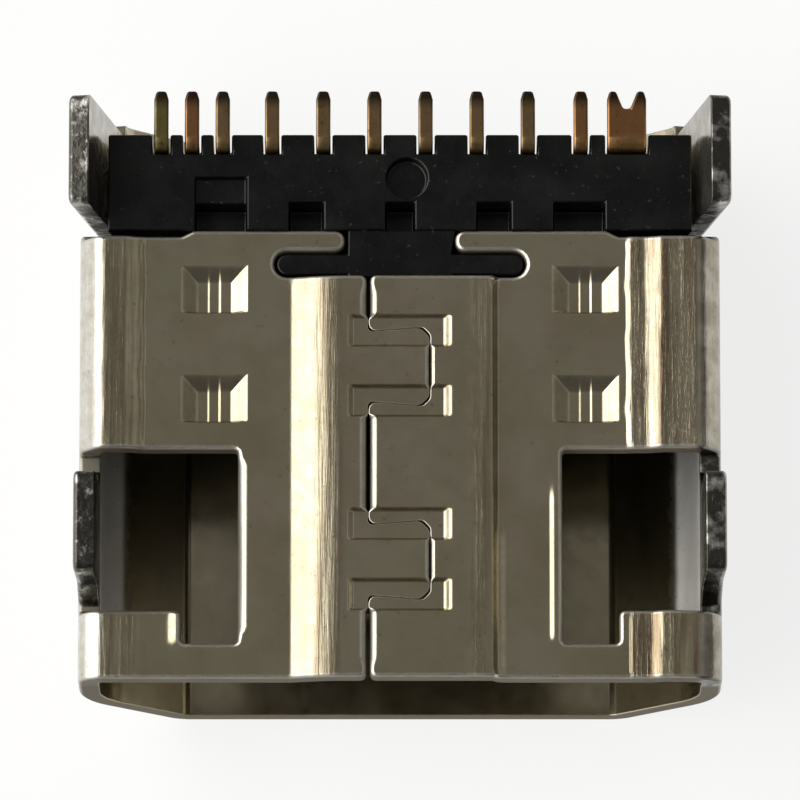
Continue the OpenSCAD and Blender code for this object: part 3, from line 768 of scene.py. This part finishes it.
def web(rims, filling):
    """Triangles between the rims of the sheet's outlines and the points that fill it."""
    flat = np.concatenate(rims + [filling])
    ties, at = [], 0
    for p in rims:
        n = len(p)
        ties += [(at + i, at + (i + 1) % n) for i in range(n)]
        at += n
    points, _, faces, sources, _, _ = delaunay_2d_cdt([Vector(p) for p in flat], ties, [], 0, SAME_POINT)
    crossed = [tuple(point) for point, ids in zip(points, sources) if not ids]
    if crossed:
        raise RuntimeError(f"cut edges of the flat sheet cross at {crossed}")
    triangles = np.array([[sources[v][0] for v in face] for face in faces])
    return triangles[inside(flat[triangles].mean(axis=1), rims)]


# The shell as one folded sheet
def layer(points, h, face, turn=0.0, inwards=None):
    """Folded points at height h, their normals and their marks, on the outer (1) or inner (-1) face.

    Along a cut edge the face is turned by an angle, away from the directions inwards.
    """
    u, d = points[:, 0], points[:, 1]
    across, along, out = facing(u, d, h)
    normals = face * out * math.cos(turn)
    if turn:
        normals -= unit(inwards[:, :1] * across + inwards[:, 1:] * along) * math.sin(turn)
    # The first mark paints a highlight on the rolled outer edges and on the left corner's bend.
    marks = {"polish": np.maximum((face > 0) * math.sin(2 * turn), left_corner_highlight(u)),
             "cut": np.full(len(points), math.sin(turn) ** 2),
             # The leg mark holds the legs' tarnish and painted shade along the right corner.
             "streak": streaked(u, d), "leg": tarnish_and_shade(u, d), "matt": matt(u, d) * (face < 0)}
    return fold(u, d, h), normals, marks


def edge_layers(points, inwards, rolls):
    """Rings of points round the cut edges, from the rolled outer face to the burr on the inner one."""
    bends = [k / EDGE_STEPS * math.pi / 2 for k in range(EDGE_STEPS + 1)]
    burrs = np.full(len(points), BURR_R)
    rings = []
    for face, radii, turns in ((1, rolls, bends), (-1, burrs, bends[::-1])):
        for turn in turns:
            inset, drop = radii * (1 - math.sin(turn)), radii * (1 - math.cos(turn))
            h = -drop if face > 0 else drop - SHEET
            rings.append(layer(points + inwards * inset[:, None], h, face, turn, inwards))
    return rings


def edge_faces(loops, rings):
    """Four-sided faces between the rings round each cut edge."""
    total = sum(len(p) for p in loops)
    faces, at = [], 0
    for p in loops:
        n = len(p)
        for a in range(at, at + (rings - 1) * total, total):
            b = a + total
            faces += [(a + i, b + i, b + (i + 1) % n, a + (i + 1) % n) for i in range(n)]
        at += n
    return faces


def sheet_object(name):
    """The shell as one folded sheet with rounded cut edges."""
    loops, insets = cut_edges()
    points, inwards = np.concatenate(loops), np.concatenate(insets)
    n = len(points)
    ends = np.cumsum([len(p) for p in loops])[:-1]
    rolls = roll_over(points[:, 0], points[:, 1])
    layers = edge_layers(points, inwards, rolls)
    faces = edge_faces(loops, len(layers))
    at = len(layers) * n
    outer = (1, rolls[:, None], 1, 0, 0.0)
    inner = (-1, BURR_R, INNER_COARSE, at - n, -SHEET)
    for face, inset, coarse, ring, h in (outer, inner):
        rims = np.split(points + inwards * inset, ends)
        filling = spread_points(coarse)
        filling = clear_of(filling[inside(filling, rims)], rims, RIM_ROOM)
        triangles = web(rims, filling)
        triangles = np.where(triangles < n, triangles + ring, triangles - n + at)
        faces += triangles[:, ::face].tolist()
        layers.append(layer(filling, np.full(len(filling), h), face))
        at += len(filling)
    return mesh_object(name, layers, faces)


def mesh_object(name, layers, faces):
    """An object from layers of points with their normals and marks."""
    points, normals, marks = zip(*layers)
    mesh = bpy.data.meshes.new(name)
    mesh.from_pydata(np.concatenate(points).tolist(), [], faces)
    for key in marks[0]:
        values = np.concatenate([m[key] for m in marks])
        mesh.attributes.new(key, "FLOAT", "POINT").data.foreach_set("value", values)
    bm = bmesh.new()
    bm.from_mesh(mesh)
    bmesh.ops.recalc_face_normals(bm, faces=bm.faces)
    bm.to_mesh(mesh)
    bm.free()
    mesh.shade_smooth()
    mesh.normals_split_custom_set_from_vertices(np.concatenate(normals).tolist())
    obj = bpy.data.objects.new(name, mesh)
    bpy.context.scene.collection.objects.link(obj)
    return obj


# Materials
MIX_A, MIX_B, MIX_OUT = 6, 7, 2
ALONG_SHELL = (9, 0.4, 9)
ALONG_TAIL = (1, 0.4, 1)

NICKEL = (0.51, 0.45, 0.335)
GREENISH = (0.465, 0.43, 0.295)
STAIN = (0.41, 0.355, 0.24)
MOTTLE = (0.27, 0.235, 0.165)
SCORED = (0.24, 0.185, 0.12)
PAINTED_HIGHLIGHT = (0.80, 0.785, 0.74)
TARNISH_AND_SHADE = ((0.24, 0.22, 0.185), (0.45, 0.425, 0.37))
ROUGH_SIDE = (0.82, 0.81, 0.79)
SHEARED = ((0.055, 0.048, 0.036), (0.19, 0.165, 0.125))
DARK_TIP_AND_GLINT = ((0.06, 0.057, 0.05), (0.5, 0.49, 0.455))
STEEL_PIT = (0.14, 0.115, 0.08)
RESIN = ((0.001, 0.0012, 0.0012), (0.0028, 0.0032, 0.0032))
DUST = (0.06, 0.06, 0.055)
MATING_GOLD = ((0.70, 0.50, 0.22), (0.55, 0.38, 0.16))
CONTACT_PIT = (0.09, 0.055, 0.03)
TIP_DARK = (0.02, 0.015, 0.01)
GOLD = ((0.27, 0.175, 0.085), (0.105, 0.072, 0.042))
COPPER = ((0.31, 0.15, 0.062), (0.13, 0.066, 0.033))
OLIVE = ((0.20, 0.168, 0.062), (0.115, 0.092, 0.038))
PAPER = ((0.88, 0.88, 0.875), (0.90, 0.90, 0.895))
PAPER_WHITE = 0.8


class Wiring:
    """A material's or a world's node tree, with short ways to add the nodes used here."""

    def __init__(self, owner):
        owner.use_nodes = True
        self.nodes, self.links = owner.node_tree.nodes, owner.node_tree.links

    def add(self, kind, **settings):
        node = self.nodes.new("ShaderNode" + kind)
        for key, value in settings.items():
            setattr(node, key, value)
        return node

    def feed(self, socket, value):
        """Gives a socket a number or a colour, or another node's output."""
        if isinstance(value, bpy.types.NodeSocket):
            self.links.new(value, socket)
        elif isinstance(value, tuple):
            socket.default_value = (*value, 1)
        else:
            socket.default_value = value

    def millimetres(self, stretch=(1, 1, 1)):
        """Object coordinates in millimetres, stretched per axis."""
        mapping = self.add("Mapping")
        mapping.inputs["Scale"].default_value = [s / MM for s in stretch]
        self.feed(mapping.inputs["Vector"], self.add("TexCoord").outputs["Object"])
        return mapping.outputs["Vector"]

    def noise(self, vector, scale, detail, rough):
        node = self.add("TexNoise")
        for key, value in (("Vector", vector), ("Scale", scale), ("Detail", detail), ("Roughness", rough)):
            self.feed(node.inputs[key], value)
        return node.outputs["Fac"]

    def spread(self, value, lo, hi, to_lo=0, to_hi=1):
        """A value's range from lo to hi carried over to another range."""
        node = self.add("MapRange")
        ends = (("From Min", lo), ("From Max", hi), ("To Min", to_lo), ("To Max", to_hi))
        for key, given in (("Value", value), *ends):
            self.feed(node.inputs[key], given)
        return node.outputs["Result"]

    def tinted(self, share, a, b):
        """A mix of two colours, each given as a colour or a node's output."""
        node = self.add("Mix", data_type="RGBA")
        for key, value in (("Factor", share), (MIX_A, a), (MIX_B, b)):
            self.feed(node.inputs[key], value)
        return node.outputs[MIX_OUT]

    def joined(self, operation, a, b):
        node = self.add("Math", operation=operation)
        self.feed(node.inputs[0], a)
        self.feed(node.inputs[1], b)
        return node.outputs["Value"]

    def times(self, a, b):
        return self.joined("MULTIPLY", a, b)

    def plus(self, a, b):
        return self.joined("ADD", a, b)

    def mark(self, name):
        return self.add("Attribute", attribute_name=name).outputs["Fac"]

    def bump(self, shader, height, depth_mm, strength):
        node = self.add("Bump")
        for key, value in (("Strength", strength), ("Distance", depth_mm * MM), ("Height", height)):
            self.feed(node.inputs[key], value)
        self.feed(shader.inputs["Normal"], node.outputs["Normal"])


def material(name):
    mat = bpy.data.materials.new(name)
    tree = Wiring(mat)
    return mat, tree, tree.nodes["Principled BSDF"]


def plated_steel():
    """Dull nickel over steel: stains, pits, drawn streaks, mottled legs, painted highlights on rolled edges
    and the left corner, painted shade on the right corner, painted glints on leg tips.
    """
    mat, tree, shader = material("plated_steel")
    place = tree.millimetres()
    mottle = tree.noise(place, scale=5.5, detail=5, rough=0.65)
    lines = tree.noise(tree.millimetres(ALONG_SHELL), scale=1, detail=6, rough=0.6)
    tin = tree.noise(place, scale=3.4, detail=4, rough=0.6)
    streak, leg, cut, rough_side = (tree.mark(name) for name in ("streak", "leg", "cut", "matt"))
    tip = tree.times(leg, cut)

    patches = tree.spread(tree.noise(place, scale=0.55, detail=5, rough=0.6), 0.42, 0.6)
    stains = tree.spread(tree.noise(place, scale=0.9, detail=7, rough=0.65), 0.40, 0.68)
    colour = tree.tinted(patches, NICKEL, GREENISH)
    colour = tree.tinted(stains, colour, STAIN)
    colour = tree.tinted(tree.spread(mottle, 0.40, 0.75, 0, 0.5), colour, MOTTLE)
    colour = tree.tinted(tree.times(tree.spread(lines, 0.42, 0.62, 0, 0.7), streak), colour, SCORED)
    # Painted highlight: the rolled outer edges and the left corner's bend are lightened towards a pale
    # colour.
    highlight = tree.times(tree.mark("polish"), tree.spread(mottle, 0.3, 0.6, 1, 0.55))
    colour = tree.tinted(highlight, colour, PAINTED_HIGHLIGHT)
    # Legs take a tarnish colour; the band along the right corner takes it too, as painted shade.
    colour = tree.tinted(tree.times(leg, 0.85), colour, tree.tinted(tree.spread(tin, 0.40, 0.66), *TARNISH_AND_SHADE))
    colour = tree.tinted(rough_side, colour, ROUGH_SIDE)
    colour = tree.tinted(tree.times(cut, 0.85), colour, tree.tinted(mottle, *SHEARED))
    # Painted glints: bright spots painted into the dark colour of the cut tips.
    glints = tree.spread(tree.noise(place, scale=4.2, detail=4, rough=0.6), 0.50, 0.68)
    colour = tree.tinted(tip, colour, tree.tinted(glints, *DARK_TIP_AND_GLINT))
    pits = tree.spread(tree.noise(place, scale=15, detail=2, rough=0.5), 0.68, 0.76, 0, 0.45)
    tree.feed(shader.inputs["Base Color"], tree.tinted(pits, colour, STEEL_PIT))

    rough = tree.plus(tree.spread(mottle, 0.3, 0.7, 0.17, 0.27), tree.times(cut, 0.5))
    rough = tree.plus(tree.plus(rough, tree.times(tip, -0.42)), tree.times(rough_side, 0.4))
    tree.feed(shader.inputs["Roughness"], rough)
    shader.inputs["Metallic"].default_value = 1
    drawn = tree.plus(tree.times(lines, streak), tree.times(mottle, 0.12))
    lumps = tree.times(tin, tree.plus(leg, tree.times(tip, 2)))
    tree.bump(shader, tree.plus(drawn, lumps), depth_mm=0.016, strength=0.6)
    return mat


def moulded_resin():
    """Black glass-filled plastic with a faint bloom and dust."""
    mat, tree, shader = material("moulded_resin")
    place = tree.millimetres()
    bloom = tree.spread(tree.noise(place, scale=1.6, detail=6, rough=0.65), 0.4, 0.7)
    dust = tree.spread(tree.noise(place, scale=17, detail=2, rough=0.5), 0.68, 0.78, 0, 0.5)
    tree.feed(shader.inputs["Base Color"], tree.tinted(dust, tree.tinted(bloom, *RESIN), DUST))
    tree.feed(shader.inputs["Roughness"], tree.spread(bloom, 0, 1, 0.24, 0.36))
    shader.inputs["Specular IOR Level"].default_value = 0.3
    tree.bump(shader, tree.noise(place, scale=22, detail=4, rough=0.6), depth_mm=0.006, strength=0.35)
    return mat


def plated_contact(name, tail_colours):
    """Plated copper alloy: gold where it mates, tarnished along the tail and dark at the cut tip."""
    mat, tree, shader = material(name)
    wear = tree.spread(tree.noise(tree.millimetres(ALONG_TAIL), scale=5, detail=6, rough=0.65), 0.35, 0.68)
    pits = tree.spread(tree.noise(tree.millimetres(), scale=14, detail=2, rough=0.5), 0.62, 0.74, 0, 0.6)
    where = tree.add("SeparateXYZ")
    tree.feed(where.inputs["Vector"], tree.millimetres())
    tail = tree.spread(where.outputs["Y"], TAIL_START - TARNISH_FADE, TAIL_START)
    tip = tree.spread(where.outputs["Y"], *TIP_Y, 0, TIP_SHARE)
    colour = tree.tinted(tail, tree.tinted(wear, *MATING_GOLD), tree.tinted(wear, *tail_colours))
    colour = tree.tinted(pits, colour, CONTACT_PIT)
    tree.feed(shader.inputs["Base Color"], tree.tinted(tip, colour, TIP_DARK))
    tree.feed(shader.inputs["Roughness"], tree.spread(wear, 0, 1, 0.26, 0.45))
    shader.inputs["Metallic"].default_value = 1
    tree.bump(shader, wear, depth_mm=0.003, strength=0.3)
    return mat


def floor_paper():
    """White paper: part of what it shows to the eye and in reflections is its own white."""
    mat, tree, shader = material("floor_paper")
    tone = tree.noise(tree.millimetres(), scale=0.4, detail=4, rough=0.5)
    tree.feed(shader.inputs["Base Color"], tree.tinted(tone, *PAPER))
    shader.inputs["Roughness"].default_value = 0.9
    shader.inputs["Specular IOR Level"].default_value = 0.1
    path = tree.add("LightPath")
    seen = path.outputs["Is Camera Ray"]
    for name in ("Is Glossy Ray", "Is Transmission Ray"):
        seen = tree.joined("MAXIMUM", seen, path.outputs[name])
    white = tree.add("Emission")
    white.inputs["Color"].default_value = (1, 1, 1, 1)
    white.inputs["Strength"].default_value = 1
    mix = tree.add("MixShader")
    tree.feed(mix.inputs["Fac"], tree.spread(seen, 0, 1, 0, PAPER_WHITE))
    tree.feed(mix.inputs[1], shader.outputs["BSDF"])
    tree.feed(mix.inputs[2], white.outputs["Emission"])
    tree.feed(tree.nodes["Material Output"].inputs["Surface"], mix.outputs["Shader"])
    return mat


# The CAD solids with their edges broken; widths and steps are millimetres
HOUSING_BREAK = 0.028
CONTACT_BREAK = 0.03
BREAK_SEGMENTS = 3
BREAK_TURN = math.radians(25)
SHARP_TURN = math.radians(35)
FLAT_TURN = math.radians(0.5)
FINE_STEP = 0.012
WELD_GAP = 0.0001
KEY_DIGITS = 4


def dress_cad(obj, mat, width):
    """A CAD node's own solid with its edges broken and a material."""
    obj.data.materials.clear()
    obj.data.materials.append(mat)
    weld = obj.modifiers.new("weld", "WELD")
    weld.merge_threshold = WELD_GAP * MM
    flat = obj.modifiers.new("flat", "DECIMATE")
    flat.decimate_type = "DISSOLVE"
    flat.angle_limit = FLAT_TURN
    bevel = obj.modifiers.new("edges", "BEVEL")
    bevel.width = width * MM
    bevel.segments = BREAK_SEGMENTS
    bevel.limit_method = "ANGLE"
    bevel.angle_limit = BREAK_TURN
    bevel.harden_normals = True
    return bevel


def break_edges(obj, bevel):
    """Breaks a solid's sharp edges at their full width, apart from those that meet a bend's fine steps."""
    mesh = obj.data
    corners, sides, least = {}, {}, {}
    places = [tuple(round(c / MM, KEY_DIGITS) for c in v.co) for v in mesh.vertices]
    ids = [corners.setdefault(place, len(corners)) for place in places]
    keys = [frozenset(ids[v] for v in edge.vertices) for edge in mesh.edges]
    for face in mesh.polygons:
        for a, b in face.edge_keys:
            sides.setdefault(frozenset((ids[a], ids[b])), []).append(face.normal)
    turns = {key: normals[0].angle(normals[-1]) for key, normals in sides.items()}
    for edge, key in zip(mesh.edges, keys):
        a, b = (mesh.vertices[v].co for v in edge.vertices)
        if turns[key] > FLAT_TURN:
            for corner in key:
                least[corner] = min(least.get(corner, math.inf), (a - b).length / MM)
    weights = mesh.attributes.new("bevel_weight_edge", "FLOAT", "EDGE")
    for item, key in zip(weights.data, keys):
        item.value = turns[key] > SHARP_TURN and min(least[corner] for corner in key) > FINE_STEP
    bevel.limit_method = "WEIGHT"
    bevel.use_clamp_overlap = False


shell = sheet_object("shell_sheet")
shell.data.materials.append(plated_steel())
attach(shell, "root")
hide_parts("shell")

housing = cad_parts["housing"]
break_edges(housing, dress_cad(housing, moulded_resin(), HOUSING_BREAK))

gold = plated_contact("gold_plate", GOLD)
copper = plated_contact("copper_plate", COPPER)
olive = plated_contact("olive_plate", OLIVE)
CONTACTS = 11
FINISHES = {1: olive, 2: copper, 10: copper, 11: copper}
for number in range(1, CONTACTS + 1):
    dress_cad(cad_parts[f"contact_{number:02d}"], FINISHES.get(number, gold), CONTACT_BREAK)

# The floor, millimetres
FLOOR_W = 400
FLOOR_GAP = 0.002
bpy.ops.mesh.primitive_plane_add(size=FLOOR_W * MM)
floor = bpy.context.object
floor.name = "floor"
floor.location.z = -FLOOR_GAP * MM
floor.data.materials.append(floor_paper())

# The light: strengths, and ramps over the direction's X or Y part
LEFT_LIGHT = 3.5
OVERHEAD = 0.205
RIGHT_LIGHT = 0.4
LOW_SHARE = 0.42
FRONT_SHARE = 0.5
LEFT_RAMP = (-0.28, -0.45)
LOW_RAMP = (-0.88, -0.95)
RIGHT_RAMP = (0.12, 0.38)
EDGE_RAMP = (0.6, 0.85)
FRONT_RAMP = (-0.3, -0.65)
SKY = (1.0, 0.985, 0.955)


def studio_light():
    """A soft light tent: bright on the left, dim overhead and on the right, dimmer still in front."""
    world = bpy.data.worlds.new("studio")
    bpy.context.scene.world = world
    tree = Wiring(world)
    split = tree.add("SeparateXYZ")
    tree.feed(split.inputs["Vector"], tree.add("TexCoord").outputs["Generated"])
    across, along = split.outputs["X"], split.outputs["Y"]
    left = tree.spread(across, *LEFT_RAMP, 0, LEFT_LIGHT)
    left = tree.times(left, tree.spread(across, *LOW_RAMP, 1, LOW_SHARE))
    right = tree.spread(across, *RIGHT_RAMP, OVERHEAD, RIGHT_LIGHT)
    edge = tree.spread(across, *EDGE_RAMP, 0, OVERHEAD - RIGHT_LIGHT)
    total = tree.plus(left, tree.plus(right, edge))
    total = tree.times(total, tree.spread(along, *FRONT_RAMP, 1, FRONT_SHARE))
    sky = tree.nodes["Background"]
    tree.feed(sky.inputs["Color"], SKY)
    tree.feed(sky.inputs["Strength"], total)


studio_light()

# The camera: lens and sensor are millimetres, and so is the width that it sees
ELEVATION = math.radians(77)
LENS = 500
SENSOR_W = 36
VIEW_W = 9.4
CLIP = 1
camera = bpy.data.objects.new("camera", bpy.data.cameras.new("camera"))
bpy.context.scene.collection.objects.link(camera)
camera.data.lens = LENS
camera.data.sensor_width = SENSOR_W
camera.data.clip_start = CLIP * MM
centre = (CAD_BOX[0] + CAD_BOX[1]) / 2
back = Vector((0, -math.cos(ELEVATION), math.sin(ELEVATION)))
camera.location = centre + back * VIEW_W * MM * LENS / SENSOR_W
camera.rotation_euler = (-back).to_track_quat("-Z", "Y").to_euler()
bpy.context.scene.camera = camera
bpy.context.scene.view_settings.view_transform = "Standard"
